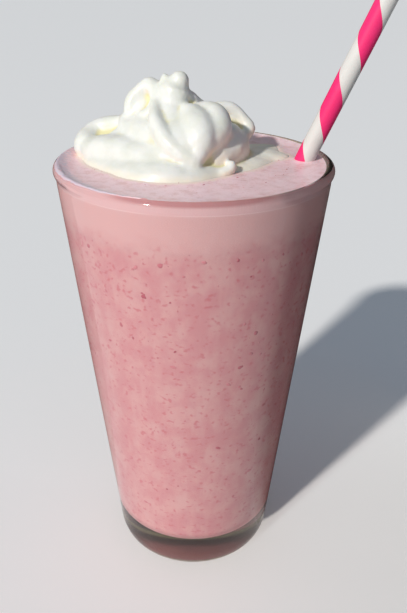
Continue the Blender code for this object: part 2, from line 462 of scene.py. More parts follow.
@dataclass(frozen=True)
class DrinkFinish:
    """The pink drink and its paler froth, which run into each other.

    Heights and radii are in millimetres.
    """

    name: str
    deep: Colour = seen(211, 145, 149)
    pale: Colour = seen(221, 176, 173)
    froth: Colour = seen(223, 174, 173)
    top: Colour = seen(253, 219, 225)
    blush: Colour = seen(204, 112, 122)
    # Painted shade: the colour of the darker band just below the froth's edge, seen through the lip.
    painted_rim_shade: Colour = seen(203, 140, 142)
    cream: Colour = seen(250, 224, 216)
    # Painted caustic: the colour of the pale line of bubbles under the lip, which stands in for the bright
    # line of sunlight that the lip focuses.
    bubbles: Colour = seen(246, 222, 220)
    foam: Colour = seen(220, 206, 218)
    # Bottom colours: the drink's own colour under the middle, then painted shade towards the edge and a
    # painted highlight ring.
    under_middle: Colour = seen(216, 150, 150)
    under_painted_shade: Colour = seen(112, 84, 78)
    under_painted_highlight: Colour = seen(216, 208, 166)
    clouds: Pattern = Pattern((7.0, 7.0, 9.0), (0.36, 0.68), 0.6, 4.0, 0.6)
    streaks: Pattern = Pattern((3.5, 3.5, 22.0), (0.5, 0.75), 0.3, 2.0)
    spots: Pattern = Pattern((1.7, 1.7, 1.4), (0.58, 0.74), 0.7, 1.0)
    gaps: Pattern = Pattern((16.0, 16.0, 60.0), (0.2, 0.5), 0.35, 1.0)
    mottle: Pattern = Pattern((3.0, 3.0, 3.0), (0.42, 0.75), 0.6, 4.0, 0.65)
    dots: Pattern = Pattern((0.7, 0.7, 0.7), (0.6, 0.75), 0.2, 1.0)
    border_waves: Point = (6.0, 6.0, 4.0)
    border_swing: float = 9.0
    border: Span = (135.5, 143.5)
    # Height and width of that painted caustic line, in millimetres.
    caustic_line: float = 145.9
    caustic_line_fade: Span = (0.35, 0.05)
    # Painted light: a band where the drink's side turns towards the top's paler colour, for the bright band
    # that the lip's bead shows.
    painted_light_under_lip: Span = (144.4, 147.2)
    painted_light_under_lip_share: float = 0.25
    rim_shade: Span = (147.55, 147.9)
    rim_shade_share: float = 0.9
    facing_up: Span = (0.2, 0.8)
    facing_down: Span = (-0.8, -0.97)
    # Radii of the painted shade ring and of the painted highlight ring, in millimetres.
    painted_shade_ring: Span = (8.0, 15.0)
    highlight_ring_start: Span = (18.0, 20.0)
    highlight_ring_end: Span = (24.0, 22.0)
    melt_fray: Point = (1.6, 1.6, 1.6)
    melt_span: Span = (0.8, 1.35)
    foam_fray: Point = (0.9, 0.9, 0.9)
    foam_span: Span = (0.7, 1.15)
    bubble_size: float = 0.8
    bubble_span: Span = (0.0, 0.5)
    bubble_depth: float = 0.04
    bubble_strength: float = 0.4
    film: Relief = Relief((5.0, 5.0, 5.0), 0.2, 0.5, 2.0)

    def build(self) -> bpy.types.Material:
        """Makes the material.

        Returns:
            The material.
        """
        nodes = Nodes(self.name)
        facing = nodes.facing()
        colour = nodes.mix(nodes.range(facing, self.facing_down), self.side(nodes), self.underside(nodes))
        colour = nodes.mix(nodes.range(facing, self.facing_up), colour, self.surface(nodes))
        bubbles = nodes.range(nodes.cells(self.bubble_size), self.bubble_span)
        relief = nodes.bump(bubbles, self.bubble_depth, self.bubble_strength)
        nodes.set(
            Roughness=0.36, Specular_IOR_Level=0.35, Subsurface_Weight=0.25,
            Subsurface_Radius=(1.0, 0.5, 0.4), Subsurface_Scale=1.5 * MM,
        )
        return nodes.finish(colour, nodes.relief(self.film, relief))

    def side(self, nodes: Nodes) -> Socket:
        """Colours what shows through the wall: the drink, its froth, a pale line of bubbles under the lip
        that is a painted caustic, a paler band of painted light under the lip and a darker band of painted
        shade below the froth's edge.

        Args:
            nodes: The material's nodes.

        Returns:
            The colour.
        """
        body = nodes.mix(nodes.patches(self.clouds), self.deep, self.pale)
        body = nodes.mix(nodes.patches(self.streaks), body, self.pale)
        body = nodes.mix(nodes.patches(self.spots), body, self.blush)
        swing = nodes.math("MULTIPLY", nodes.noise(self.border_waves), self.border_swing * MM)
        height = nodes.math("ADD", nodes.height(), swing)
        side = nodes.mix(nodes.range(height, self.border, MM), body, self.froth)
        # Painted caustic: a pale line of bubbles round the wall under the lip, broken by gaps.
        above_line = nodes.math("SUBTRACT", nodes.height(), self.caustic_line * MM)
        line = nodes.range(nodes.math("ABSOLUTE", above_line, 0.0), self.caustic_line_fade, MM)
        side = nodes.mix(nodes.math("MULTIPLY", line, nodes.patches(self.gaps)), side, self.bubbles)
        # Painted light: the side made paler just under the lip.
        painted_light_under_lip = nodes.range(nodes.height(), self.painted_light_under_lip, MM)
        side = nodes.mix(nodes.math("MULTIPLY", painted_light_under_lip, self.painted_light_under_lip_share), side, self.top)
        # Painted shade: a darker band just below the froth's edge.
        painted_rim_shade = nodes.range(nodes.height(), self.rim_shade, MM)
        return nodes.mix(nodes.math("MULTIPLY", painted_rim_shade, self.rim_shade_share), side, self.painted_rim_shade)

    def underside(self, nodes: Nodes) -> Socket:
        """Paints the bottom in rings, which the thick foot mirrors: painted shade that darkens it towards
        its edge, and a pale olive ring of painted highlight.

        Args:
            nodes: The material's nodes.

        Returns:
            The colour.
        """
        across = nodes.add("ShaderNodeVectorMath", operation="MULTIPLY")
        across.inputs[1].default_value = (1.0, 1.0, 0.0)
        nodes.join(nodes.place, across.inputs[0])
        length = nodes.add("ShaderNodeVectorMath", operation="LENGTH")
        nodes.join(across.outputs["Vector"], length.inputs[0])
        radius = length.outputs["Value"]
        # Painted shade darkens the bottom towards its edge; a painted highlight ring lies over it.
        rings = nodes.mix(nodes.range(radius, self.painted_shade_ring, MM), self.under_middle, self.under_painted_shade)
        start = nodes.range(radius, self.highlight_ring_start, MM)
        end = nodes.range(radius, self.highlight_ring_end, MM)
        return nodes.mix(nodes.math("MULTIPLY", start, end), rings, self.under_painted_highlight)

    def surface(self, nodes: Nodes) -> Socket:
        """Colours the top, which turns creamy beside the dollop and foamy where it runs over the lip.

        Args:
            nodes: The material's nodes.

        Returns:
            The colour.
        """
        top = nodes.mix(nodes.patches(self.mottle), self.top, self.froth)
        top = nodes.mix(nodes.patches(self.dots), top, self.blush)
        melt = nodes.math("ADD", nodes.attribute("melt"), nodes.noise(self.melt_fray))
        top = nodes.mix(nodes.range(melt, self.melt_span), top, self.cream)
        foam = nodes.math("ADD", nodes.attribute("foam"), nodes.noise(self.foam_fray))
        return nodes.mix(nodes.range(foam, self.foam_span), top, self.foam)


@dataclass(frozen=True)
class CreamFinish:
    """Whipped cream, white on its folds, with painted yellowish bounce shade in its hollows and painted
    warm bounce light on its undersides and shade side.

    Heights are above the drink and in millimetres.
    """

    white: Colour = seen(238, 239, 234)
    shade: Colour = seen(229, 231, 222)
    # Painted shade: the yellowish colour of bounce light deep in the hollows.
    hollow: Colour = seen(230, 222, 168)
    melt: Colour = seen(246, 238, 220)
    # Painted bounce light: the warm colour of undersides and of the low shade side, lit from the pink
    # drink.
    under: Colour = seen(246, 224, 204)
    level: float = 148.3
    patches: Pattern = Pattern((6.0, 6.0, 6.0), (0.35, 0.7))
    hollow_shade_span: Span = (0.4, 1.2)
    melt_waves: Point = (2.2, 2.2, 2.2)
    melt_swing: float = 1.1
    melted: Span = (3.6, 1.4)
    melt_share: float = 0.8
    # Where that painted bounce light goes: faces turned down, and the low right side that faces away from
    # the sun.
    facing_down: Span = (0.1, -0.6)
    lee_side: Span = (3.0, 9.0)
    lee_facing: Span = (0.75, 0.2)
    lee_height: Span = (15.0, 8.0)
    lee_share: float = 0.6
    grain: Relief = Relief((0.7, 0.7, 0.7), 0.05, 0.25, 2.0)
    folds: Relief = Relief((2.6, 2.6, 2.6), 0.3, 0.5)

    def build(self) -> bpy.types.Material:
        """Makes the material.

        Returns:
            The material.
        """
        nodes = Nodes("whipped_cream")
        body = nodes.mix(nodes.patches(self.patches), self.white, self.shade)
        # Painted shade: hollows turn yellowish, as bounce light would make them.
        body = nodes.mix(nodes.range(nodes.attribute("hollow"), self.hollow_shade_span), body, self.hollow)
        swing = nodes.math("MULTIPLY", nodes.noise(self.melt_waves), self.melt_swing * MM)
        melted = nodes.range(nodes.math("ADD", nodes.height(), swing), self.above_drink(self.melted), MM)
        body = nodes.mix(nodes.math("MULTIPLY", melted, self.melt_share), body, self.melt)
        # Painted bounce light: warm on faces turned down and on the low right side in shade.
        facing = nodes.facing()
        to_the_right = nodes.range(nodes.part(nodes.place, "X"), self.lee_side, MM)
        painted_lee_bounce = nodes.math("MULTIPLY", to_the_right, nodes.range(facing, self.lee_facing))
        low = nodes.range(nodes.height(), self.above_drink(self.lee_height), MM)
        painted_lee_bounce = nodes.math("MULTIPLY", nodes.math("MULTIPLY", painted_lee_bounce, low), self.lee_share)
        below = nodes.math("MAXIMUM", nodes.range(facing, self.facing_down), painted_lee_bounce)
        nodes.set(
            Roughness=0.38, Specular_IOR_Level=0.4, Subsurface_Weight=0.5,
            Subsurface_Radius=(1.0, 0.9, 0.75), Subsurface_Scale=1.2 * MM,
        )
        colour = nodes.mix(below, body, self.under)
        return nodes.finish(colour, nodes.relief(self.folds, nodes.relief(self.grain)))

    def above_drink(self, span: Span) -> Span:
        """Turns heights above the drink into heights above the table."""
        return self.level + span[0], self.level + span[1]


@dataclass(frozen=True)
class FleckFinish:
    """Bits of strawberry, from faint pink to dark red."""

    faint: Colour = seen(211, 133, 140)
    dark: Colour = seen(174, 70, 90)
    spread: float = 0.3
    grain: Relief = Relief((0.5, 0.5, 0.5), 0.05, 0.4, 2.0)

    def build(self) -> bpy.types.Material:
        """Makes the material, whose depth of colour is kept on each fleck.

        Returns:
            The material.
        """
        nodes = Nodes("strawberry_fleck")
        colour = nodes.mix(nodes.attribute("depth"), self.faint, self.dark)
        spread = nodes.math("MULTIPLY", nodes.noise(self.grain.size, self.grain.detail), self.spread)
        nodes.set(Roughness=0.5, Specular_IOR_Level=0.3)
        return nodes.finish(nodes.mix(spread, colour, self.faint), nodes.relief(self.grain))


@dataclass(frozen=True)
class PaperFinish:
    """One printed band of the paper straw."""

    name: str
    colour: Colour
    worn: Colour
    wear: Pattern = Pattern((2.5, 2.5, 6.0), (0.5, 0.85), 0.5)
    fibres: Relief = Relief((0.25, 0.25, 1.6), 0.03, 0.4)

    def build(self) -> bpy.types.Material:
        """Makes the material.

        Returns:
            The material.
        """
        nodes = Nodes(self.name)
        nodes.set(
            Roughness=0.5, Specular_IOR_Level=0.35, Subsurface_Weight=0.08,
            Subsurface_Radius=(1.0, 0.6, 0.6), Subsurface_Scale=0.5 * MM,
        )
        colour = nodes.mix(nodes.patches(self.wear), self.colour, self.worn)
        return nodes.finish(colour, nodes.relief(self.fibres))


@dataclass
class Glass:
    """The conical glass, turned finer than its solid, with its sizes in millimetres."""

    height: float = 150.0
    foot_radius: float = 29.23
    mouth_radius: float = 44.2
    heel_height: float = 7.4
    heel_inset: float = 3.3
    floor: float = 12.0
    wall_at_floor: float = 3.4
    wall_at_mouth: float = 2.8
    wall_steps: int = 11
    corner: float = 6.0
    corner_gap: float = 1.0
    lip_height: float = 4.0
    lip_thickness: float = 3.4
    lip_bulge: float = 0.35
    neck_drop: float = 1.5
    neck_length: float = 2.2
    neck_depth: float = 0.06
    neck_steps: int = 6
    punt: float = 1.2
    punt_edge: float = 1.0
    foot_ring: float = 1.6
    sides: int = 256
    finish: GlassFinish = field(default_factory=GlassFinish)

    def outer(self, height: float) -> float:
        """Returns the radius of the outer cone at a height."""
        return self.foot_radius + (self.mouth_radius - self.foot_radius) * height / self.height

    def inner(self, height: float) -> float:
        """Gives the size of the space inside.

        Args:
            height: A height above the rounded corner of the floor.

        Returns:
            The radius there.
        """
        low = self.outer(self.floor) - self.wall_at_floor
        high = self.mouth_radius - self.wall_at_mouth
        return low + (high - low) * (height - self.floor) / (self.height - self.floor)

    def lip_centre(self) -> Span:
        """Returns radius and height of the middle of the rounded lip."""
        half = self.lip_thickness / 2.0
        return self.mouth_radius + self.lip_bulge - half, self.height - half

    def corner_centre(self) -> Span:
        """Returns radius and height of the middle of the inner corner's arc."""
        height = self.floor + self.corner
        return self.inner(height) - self.corner, height

    def profile(self) -> Profile:
        """Draws the outline from the middle of the foot, up and over the lip, to the inner floor.

        Returns:
            Its points (radius, height).
        """
        heel_centre = self.outer(self.heel_height) - self.heel_inset
        ring = heel_centre - self.foot_ring
        points = [(0.0, self.punt), (ring * 0.5, self.punt)]
        points += arc((ring - self.punt_edge, 0.0), (self.punt_edge, self.punt), 90.0, 0.0, 8)
        points += arc((heel_centre, self.heel_height), (self.heel_inset, self.heel_height), -90.0, 0.0, 16)
        neck = self.height - self.lip_height - self.neck_drop
        for k in range(1, self.wall_steps + 1):
            z = self.heel_height + (neck - self.heel_height) * k / self.wall_steps
            points.append((self.outer(z), z))
        points += self.neck(neck)
        half = self.lip_thickness / 2.0
        points += arc(self.lip_centre(), (half, half), -25.0, 180.0, 24)
        above_corner = self.floor + self.corner + self.corner_gap
        for k in range(self.wall_steps + 1):
            z = neck - (neck - above_corner) * k / self.wall_steps
            points.append((self.inner(z), z))
        centre = self.corner_centre()
        points += arc(centre, (self.corner, self.corner), 0.0, -90.0, 14)
        points += [(centre[0] * 0.5, self.floor), (0.0, self.floor)]
        return points

    def neck(self, start: float) -> Profile:
        """Draws the shallow groove under the lip.

        Args:
            start: Height of its lower end.

        Returns:
            Its points (radius, height).
        """
        points = []
        for k in range(1, self.neck_steps):
            z = start + self.neck_length * k / self.neck_steps
            groove = self.neck_depth * math.sin(math.pi * k / self.neck_steps)
            points.append((self.outer(z) - groove, z))
        return points

    def build(self) -> bpy.types.Object:
        """Builds and dresses the glass.

        Returns:
            The piece that stands for the glass's solid.
        """
        mesh = turned("clear_glass", self.profile(), self.sides)
        piece = add_piece("clear_glass", mesh, [self.finish.build()])
        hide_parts("glass")
        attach(piece, "root")
        return piece


@dataclass
class Straw:
    """The spirally striped paper straw, open at both ends, with its sizes in millimetres."""

    radius: float = 3.1
    wall: float = 0.45
    edge: float = 0.1
    end: Point = (-21.5, 7.5, 14.0)
    at_level: Point = (35.3, 2.6, 148.3)
    above_drink: float = 57.0
    lead: float = 23.8
    phase: float = 0.141
    pink_share: float = 0.525
    columns: int = 64
    rows: int = 240
    inner_rows: int = 40
    pink: PaperFinish = PaperFinish("pink_paper", seen(246, 46, 118), seen(238, 74, 136))
    white: PaperFinish = PaperFinish("white_paper", seen(222, 220, 216), seen(210, 206, 202))

    def direction(self) -> Vector:
        """Returns the direction from the lower end to the upper end."""
        return (Vector(self.at_level) - Vector(self.end)).normalized()

    def length(self) -> float:
        """Returns the whole length, in millimetres."""
        return (Vector(self.at_level) - Vector(self.end)).length + self.above_drink

    def ring(self, radius: float, z: float) -> list[Point]:
        """Lays one ring of points that is turned along with the stripes.

        Args:
            radius: Radius of the ring, in millimetres.
            z: Its place along the straw, in millimetres.

        Returns:
            The points in the straw's own frame, in metres.
        """
        points = []
        for k in range(self.columns):
            angle = 2.0 * math.pi * (k / self.columns - z / self.lead + self.phase)
            points.append((radius * math.cos(angle) * MM, radius * math.sin(angle) * MM, z * MM))
        return points

    def rings(self) -> list[list[Point]]:
        """Lays all rings, up the outside, over the upper edge and down the inside.

        Returns:
            The rings' points, in metres.
        """
        length = self.length()
        straight = length - 2.0 * self.edge
        inner = self.radius - self.wall
        rings = [self.ring(self.radius, self.edge + straight * k / self.rows) for k in range(self.rows + 1)]
        rings.append(self.ring(self.radius - self.edge, length))
        rings.append(self.ring(inner + self.edge, length))
        for k in range(self.inner_rows + 1):
            rings.append(self.ring(inner, length - self.edge - straight * k / self.inner_rows))
        rings.append(self.ring(inner + self.edge, 0.0))
        rings.append(self.ring(self.radius - self.edge, 0.0))
        return rings

    def mesh(self) -> bpy.types.Mesh:
        """Builds the tube, whose outer faces follow the stripes.

        Returns:
            The mesh, in metres.
        """
        bm = bmesh.new()
        made = [[bm.verts.new(point) for point in ring] for ring in self.rings()]
        for i, low in enumerate(made):
            high = made[(i + 1) % len(made)]
            for k in range(self.columns):
                j = (k + 1) % self.columns
                face = bm.faces.new((low[k], low[j], high[j], high[k]))
                printed = i < self.rows and k < self.columns * self.pink_share
                face.material_index = Stripe.PINK.value if printed else Stripe.WHITE.value
        bmesh.ops.recalc_face_normals(bm, faces=bm.faces[:])
        return kept("striped_straw", bm)

    def build(self) -> bpy.types.Object:
        """Builds and dresses the straw.

        Returns:
            The piece that stands for the straw's solid.
        """
        piece = add_piece("striped_straw", self.mesh(), [self.white.build(), self.pink.build()])
        turn = self.direction().to_track_quat("Z", "Y").to_matrix().to_4x4()
        piece.matrix_world = Matrix.Translation(Vector(self.end) * MM) @ turn
        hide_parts("straw")
        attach(piece, "root")
        return piece


@dataclass
class Drink:
    """The milkshake and its froth, which reach just into the glass's wall.

    Sizes are in millimetres. Turns are in degrees from the right side, seen from above.
    The froth ends on the lip at an angle: 180 inside, 90 on top, and less where it runs over.
    A climb is (height, reach), a swell (size, height, layer of the noise), and each part of the
    ragged end (fineness, depth in degrees).
    """

    glass: Glass
    straw: Straw
    cream_edge: kdtree.KDTree
    froth_bottom: float = 134.0
    level: float = 148.3
    into_wall: float = 0.1
    sides: int = 288
    side_rows: int = 60
    froth_side_rows: int = 8
    froth_side_drop: float = 2.5
    lip_rows: tuple[float, ...] = (0.0, 0.35, 0.7, 1.0)
    rings: int = 62
    ring_spread: float = 1.5
    edge_width: float = 3.0
    film: float = 0.28
    film_fade: float = 0.3
    foam_height: float = 0.55
    foam_size: float = 0.8
    foam_fullness: float = 0.15
    foam_reach: float = 5.0
    fullness: float = 0.5
    ends_at: float = 102.0
    spill_turn: float = 203.0
    spill_width: float = 30.0
    spill: float = 62.0
    bare_turn: float = 348.0
    bare_width: float = 38.0
    bare: float = 30.0
    ragged: tuple[Span, ...] = ((2.6, 14.0), (9.0, 14.0), (26.0, 12.0), (60.0, 6.0))
    swells: tuple[Point, ...] = ((9.0, 0.14, 1.0), (3.2, 0.07, 7.0))
    straw_climb: Span = (0.5, 0.9)
    cream_climb: Span = (0.35, 1.2)
    melt_reach: float = 1.6
    marked_depth: float = 1.5

    def turn(self, step: int) -> float:
        """Returns the direction of a step round the glass, in radians."""
        return 2.0 * math.pi * step / self.sides

    def side(self, low: float, high: float, rows: int) -> Profile:
        """Draws the outline of the drink's side.

        Args:
            low: Its lower end.
            high: Its upper end.
            rows: Number of spaces between its points.

        Returns:
            Its points (radius, height).
        """
        points = []
        for k in range(rows + 1):
            z = low + (high - low) * k / rows
            points.append((self.glass.inner(z) + self.into_wall, z))
        return points

    def milkshake(self) -> bpy.types.Object:
        """Builds the body of the drink, from the glass's floor to the froth.

        Returns:
            The piece that stands for the drink's solid.
        """
        glass = self.glass
        reach = glass.corner + self.into_wall
        centre = glass.corner_centre()
        bottom = glass.floor - self.into_wall
        points = [(0.0, bottom), (centre[0] * 0.5, bottom)]
        points += arc(centre, (reach, reach), -90.0, 0.0, 14)
        points += self.side(centre[1] + glass.corner_gap, self.froth_bottom, self.side_rows)
        points += [(glass.inner(self.froth_bottom) * 0.5, self.froth_bottom), (0.0, self.froth_bottom)]
        mesh = turned("milkshake_body", points, self.sides)
        piece = add_piece("milkshake_body", mesh, [DrinkFinish("milkshake", bubble_depth=0.0).build()])
        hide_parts("milkshake")
        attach(piece, "root")
        return piece

    def brim(self, turn: float) -> float:
        """Finds where the froth ends on the lip.

        Args:
            turn: Direction round the glass, in radians.

        Returns:
            The place as an angle round the lip, in degrees.
        """
        from_bare = (math.degrees(turn) - self.bare_turn + 540.0) % 360.0 - 180.0
        bare = math.exp(-from_bare ** 2 / (2.0 * self.bare_width ** 2))
        spilt = self.spilt(turn)
        ragged = 0.0
        for size, depth in self.ragged:
            ragged += depth * noise.noise((math.cos(turn) * size, math.sin(turn) * size, size))
        return self.ends_at + self.bare * bare - self.spill * spilt + ragged * spilt

    def spilt(self, turn: float) -> float:
        """Returns how much froth has run over the lip in a direction in radians, from 0 to 1."""
        from_spill = math.degrees(turn) % 360.0 - self.spill_turn
        return math.exp(-from_spill ** 2 / (2.0 * self.spill_width ** 2))

    def surface_height(self, x: float, y: float) -> float:
        """Gives the height of the froth's top at a place, without its edge.

        Args:
            x: Place along X.
            y: Place along Y.

        Returns:
            The height.
        """
        swell = 0.0
        for size, depth, layer in self.swells:
            swell += depth * noise.noise((x / size, y / size, layer))
        reach = math.hypot(x - self.straw.at_level[0], y - self.straw.at_level[1]) - self.straw.radius
        climb = self.straw_climb[0] * math.exp(-max(reach, 0.0) / self.straw_climb[1])
        climb += self.cream_climb[0] * math.exp(-self.from_cream(x, y) / self.cream_climb[1])
        return self.level + self.fullness + swell + climb

    def top_point(self, edge: Span, radius: float, turn: float) -> Span:
        """Finds a point of the froth's top.

        Args:
            edge: Radius and height of the froth's edge in this direction.
            radius: Radius of the wanted point.
            turn: The direction, in radians.

        Returns:
            The radius and the height.
        """
        x, y = radius * math.cos(turn), radius * math.sin(turn)
        lip_r, lip_z = self.glass.lip_centre()
        half = self.glass.lip_thickness / 2.0
        lumps = noise.noise((x / self.foam_size, y / self.foam_size, 4.0)) + self.foam_fullness
        film = self.film + self.foam_height * self.spilt(turn) * max(0.0, lumps)
        if radius > lip_r:
            on_glass = lip_z + math.sqrt(max(0.0, half ** 2 - (radius - lip_r) ** 2))
            return radius, on_glass + film * (1.0 - math.exp(-(edge[0] - radius) / self.film_fade))
        start_r, start_z = edge
        if start_r > lip_r:
            start_r, start_z = lip_r, lip_z + half + film
        flat = self.surface_height(x, y)
        return radius, flat + (start_z - flat) * math.exp(-(start_r - radius) / self.edge_width)

    def from_cream(self, x: float, y: float) -> float:
        """Returns the distance to the cream's edge from a place on the drink."""
        return self.cream_edge.find((x, y, 0.0))[2]

    def froth_rows(self) -> list[Profile]:
        """Lays the froth's rows of points up the wall, over the lip and in towards the middle.

        Returns:
            The rows, each with one point (radius, height) for every direction.
        """
        rows = []
        for point in self.side(self.froth_bottom, self.level - self.froth_side_drop, self.froth_side_rows):
            rows.append([point] * self.sides)
        lip_r, lip_z = self.glass.lip_centre()
        half = self.glass.lip_thickness / 2.0 - self.into_wall
        for share in self.lip_rows:
            row = []
            for k in range(self.sides):
                angle = math.radians(180.0 + (self.brim(self.turn(k)) - 180.0) * share)
                row.append((lip_r + half * math.cos(angle), lip_z + half * math.sin(angle)))
            rows.append(row)
        edge = rows[-1]
        for i in range(1, self.rings):
            share = (i / self.rings) ** self.ring_spread
            row = []
            for k, (radius, z) in enumerate(edge):
                row.append(self.top_point((radius, z), radius * (1.0 - share), self.turn(k)))
            rows.append(row)
        return rows

    def froth_mesh(self) -> bpy.types.Mesh:
        """Builds the froth's closed skin.

        Returns:
            The mesh, in metres.
        """
        bm = bmesh.new()
        made = []
        for row in self.froth_rows():
            ring = []
            for k, (radius, z) in enumerate(row):
                turn = self.turn(k)
                place = (radius * math.cos(turn) * MM, radius * math.sin(turn) * MM, z * MM)
                ring.append(bm.verts.new(place))
            made.append(ring)
        for low, high in zip(made, made[1:]):
            for k in range(self.sides):
                j = (k + 1) % self.sides
                bm.faces.new((low[k], low[j], high[j], high[k]))
        middle = bm.verts.new((0.0, 0.0, self.surface_height(0.0, 0.0) * MM))
        under = bm.verts.new((0.0, 0.0, self.froth_bottom * MM))
        for k in range(self.sides):
            j = (k + 1) % self.sides
            bm.faces.new((made[-1][k], made[-1][j], middle))
            bm.faces.new((made[0][j], made[0][k], under))
        bmesh.ops.recalc_face_normals(bm, faces=bm.faces[:])
        return kept("froth", bm)

    def mark_froth(self, mesh: bpy.types.Mesh) -> None:
        """Marks where the froth is creamy and where it is foamy, from 0 to 1, for the finish.

        Args:
            mesh: The froth's mesh.
        """
        melt = mesh.attributes.new("melt", "FLOAT", "POINT")
        foam = mesh.attributes.new("foam", "FLOAT", "POINT")
        lip_r = self.glass.lip_centre()[0]
        for vert, creamy, foamy in zip(mesh.vertices, melt.data, foam.data):
            x, y, z = vert.co / MM
            if z > self.level - self.marked_depth:
                creamy.value = math.exp(-self.from_cream(x, y) / self.melt_reach)
                near_lip = (math.hypot(x, y) - lip_r + self.foam_reach) / self.foam_reach
                foamy.value = min(1.0, max(0.0, near_lip)) * self.spilt(math.atan2(y, x))

    def froth(self) -> bpy.types.Object:
        """Builds the froth, drawn up the lip and round the straw.

        Returns:
            The piece that stands for the froth's solid.
        """
        mesh = self.froth_mesh()
        self.mark_froth(mesh)
        piece = add_piece("froth", mesh, [DrinkFinish("froth").build()])
        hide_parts("milkshake_froth")
        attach(piece, "root")
        return piece


@dataclass(frozen=True)
class Fleck:
    """One fleck: its middle, the direction it faces, its half width and its depth of colour."""

    place: Vector
    out: Vector
    size: float
    depth: float


@dataclass
class FruitFlecks:
    """Bits of strawberry that show against the glass and on the froth, with sizes in millimetres.

    Each power bends an even spread: above 1 towards small and faint flecks, below 1 upwards.
    """

    drink: Drink
    on_side: int = 560
    on_top: int = 90
    smallest: float = 0.16
    largest: float = 0.95
    top_spread: float = 0.3
    top_depth: float = 0.6
    top_radius: float = 39.5
    top_sink: float = 0.06
    half_thickness: float = 0.16
    widths: Span = (0.85, 1.3)
    unevenness: float = 0.35
    lump_share: float = 0.8
    farthest_shift: float = 50.0
    height_power: float = 0.7
    size_power: int = 4
    top_size_power: int = 3
    depth_power: int = 3
    above_floor: float = 5.0
    below_froth: float = 4.0
    lean: float = -0.1
    seed: int = 41

    def side_fleck(self, draw: random.Random) -> Fleck:
        """Draws a fleck that lies against the wall.

        Args:
            draw: Where the random numbers come from.

        Returns:
            The fleck.
        """
        glass = self.drink.glass
        turn = draw.uniform(0.0, 2.0 * math.pi)
        reach = self.drink.froth_bottom - self.below_froth - glass.floor
        z = glass.floor + self.above_floor + reach * draw.random() ** self.height_power
        radius = glass.inner(z) + self.drink.into_wall - self.half_thickness / 2.0
        size = self.smallest + (self.largest - self.smallest) * draw.random() ** self.size_power
        out = Vector((math.cos(turn), math.sin(turn), self.lean))
        place = Vector((radius * out.x, radius * out.y, z))
        return Fleck(place, out, size, draw.random() ** self.depth_power)

    def top_fleck(self, draw: random.Random) -> Fleck:
        """Draws a fleck that lies on the froth.

        Args:
            draw: Where the random numbers come from.

        Returns:
            The fleck.
        """
        turn = draw.uniform(0.0, 2.0 * math.pi)
        radius = self.top_radius * math.sqrt(draw.random())
        x, y = radius * math.cos(turn), radius * math.sin(turn)
        size = self.smallest + self.top_spread * draw.random() ** self.top_size_power
        place = Vector((x, y, self.drink.surface_height(x, y) - self.top_sink))
        return Fleck(place, Vector((0.0, 0.0, 1.0)), size, self.top_depth * draw.random())

    def add(self, bm: bmesh.types.BMesh, fleck: Fleck, draw: random.Random) -> None:
        """Adds one flat, uneven fleck.

        Args:
            bm: Mesh that takes the fleck.
            fleck: The fleck.
            draw: Where the random numbers come from.
        """
        layer = bm.verts.layers.float["depth"]
        turn = fleck.out.to_track_quat("Z", "Y").to_matrix().to_4x4()
        spin = Matrix.Rotation(draw.uniform(0.0, 2.0 * math.pi), 4, "Z")
        wide = draw.uniform(*self.widths)
        half_sizes = (fleck.size * wide * MM, fleck.size / wide * MM, self.half_thickness * MM)
        scale = Matrix.Diagonal((*half_sizes, 1.0))
        middle = fleck.place * MM
        matrix = Matrix.Translation(middle) @ turn @ spin @ scale
        made = bmesh.ops.create_icosphere(bm, subdivisions=2, radius=1.0, matrix=matrix)
        shift = Vector((draw.random(), draw.random(), draw.random())) * self.farthest_shift
        for vert in made["verts"]:
            bend = noise.noise(vert.co / (self.lump_share * fleck.size * MM) + shift)
            vert.co = middle + (vert.co - middle) * (1.0 + self.unevenness * bend)
            vert[layer] = fleck.depth

    def build(self) -> bpy.types.Object:
        """Builds all flecks as one piece.

        Returns:
            The piece.
        """
        draw = random.Random(self.seed)
        bm = bmesh.new()
        bm.verts.layers.float.new("depth")
        for _ in range(self.on_side):
            self.add(bm, self.side_fleck(draw), draw)
        for _ in range(self.on_top):
            self.add(bm, self.top_fleck(draw), draw)
        piece = add_piece("fruit_flecks", kept("fruit_flecks", bm), [FleckFinish().build()])
        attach(piece, "root")
        return piece


